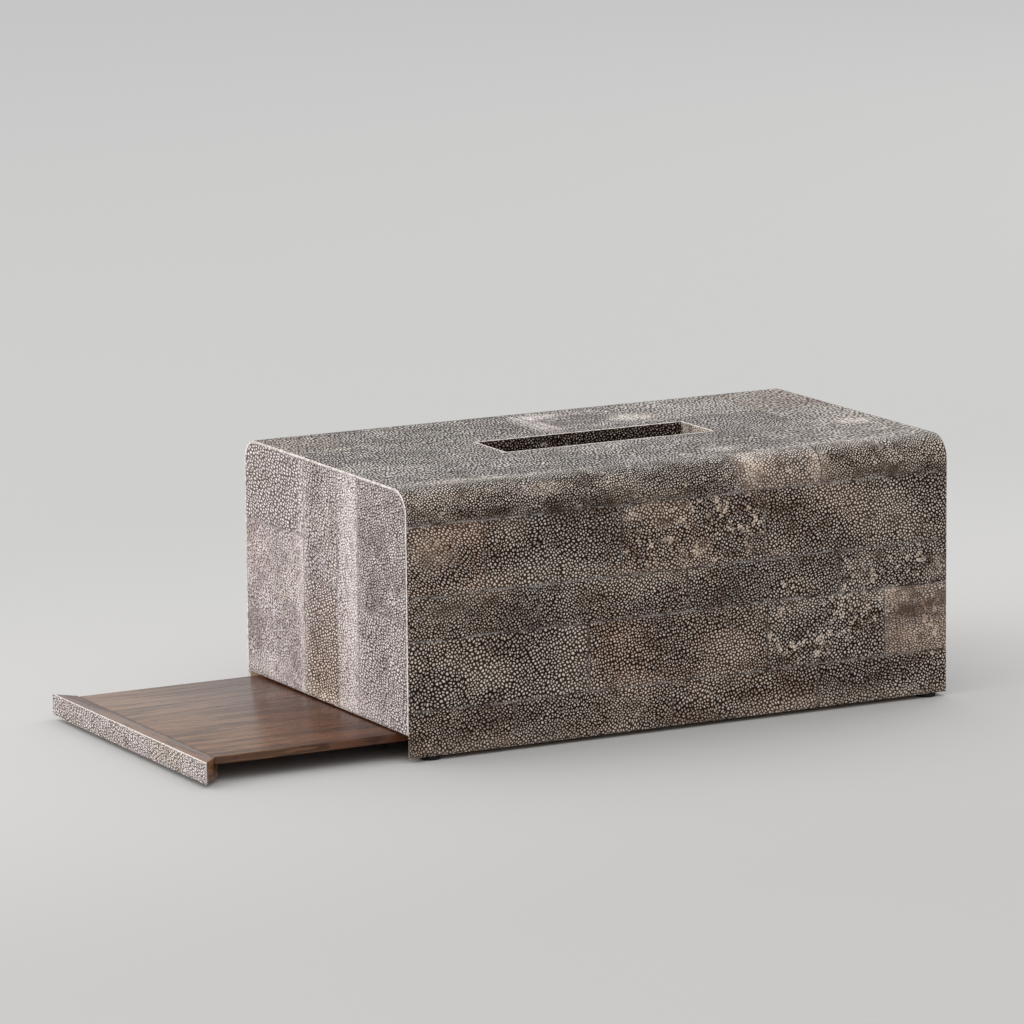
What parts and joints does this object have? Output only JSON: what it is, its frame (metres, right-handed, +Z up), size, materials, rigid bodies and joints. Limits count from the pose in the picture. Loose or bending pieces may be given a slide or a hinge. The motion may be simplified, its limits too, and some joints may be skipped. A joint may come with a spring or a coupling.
{
  "type": "tissue box cover with sliding base tray",
  "caption": "Rectangular tissue box cover clad in patchwork shagreen, rounded long top edges, slot in the top and a flat walnut base tray that slides out of one end.",
  "frame": {"origin": "middle of the whole footprint at floor level, with the tray drawn out 94.7 mm as stored", "axes": "+X along the box's length, away from the tray's lip; +Y across the width; +Z up"},
  "size_m": [0.3616, 0.156, 0.1166],
  "materials": {
    "shagreen": "pebbled shagreen tiles, dyed dark between pale polished grains, satin",
    "walnut": "walnut with a thin satin lacquer",
    "stained_panel": "panel board stained black inside, matte",
    "black_rubber": "matte black rubber pad"
  },
  "bodies": {
    "shell": {"far_edge_tiles": "shagreen", "far_guide_rail": "stained_panel", "far_left_foot": "black_rubber", "far_right_foot": "black_rubber", "far_row_four_tiles": "shagreen", "far_row_one_tiles": "shagreen", "far_row_three_tiles": "shagreen", "far_row_two_tiles": "shagreen", "far_runner": "stained_panel", "far_side_panel": "stained_panel", "left_column_four_tiles": "shagreen", "left_column_one_tiles": "shagreen", "left_column_three_tiles": "shagreen", "left_column_two_tiles": "shagreen", "left_end_panel": "stained_panel", "near_edge_tiles": "shagreen", "near_guide_rail": "stained_panel", "near_left_foot": "black_rubber", "near_right_foot": "black_rubber", "near_row_four_tiles": "shagreen", "near_row_one_tiles": "shagreen", "near_row_three_tiles": "shagreen", "near_row_two_tiles": "shagreen", "near_runner": "stained_panel", "near_side_panel": "stained_panel", "right_column_four_tiles": "shagreen", "right_column_one_tiles": "shagreen", "right_column_three_tiles": "shagreen", "right_column_two_tiles": "shagreen", "right_end_panel": "stained_panel", "slot_lining_far": "shagreen", "slot_lining_left": "shagreen", "slot_lining_near": "shagreen", "slot_lining_right": "shagreen", "top_far_tiles": "shagreen", "top_middle_tiles": "shagreen", "top_near_tiles": "shagreen", "top_panel": "stained_panel"},
    "tray": {"tray_board": "walnut", "tray_lip": "walnut", "tray_facing": "shagreen"}
  },
  "joints": [
    {"name": "tray_slide", "type": "slide", "parent": "shell", "child": "tray", "axis": [-1, 0, 0], "range_m": [-0.0944, 0.1521]}
  ]
}
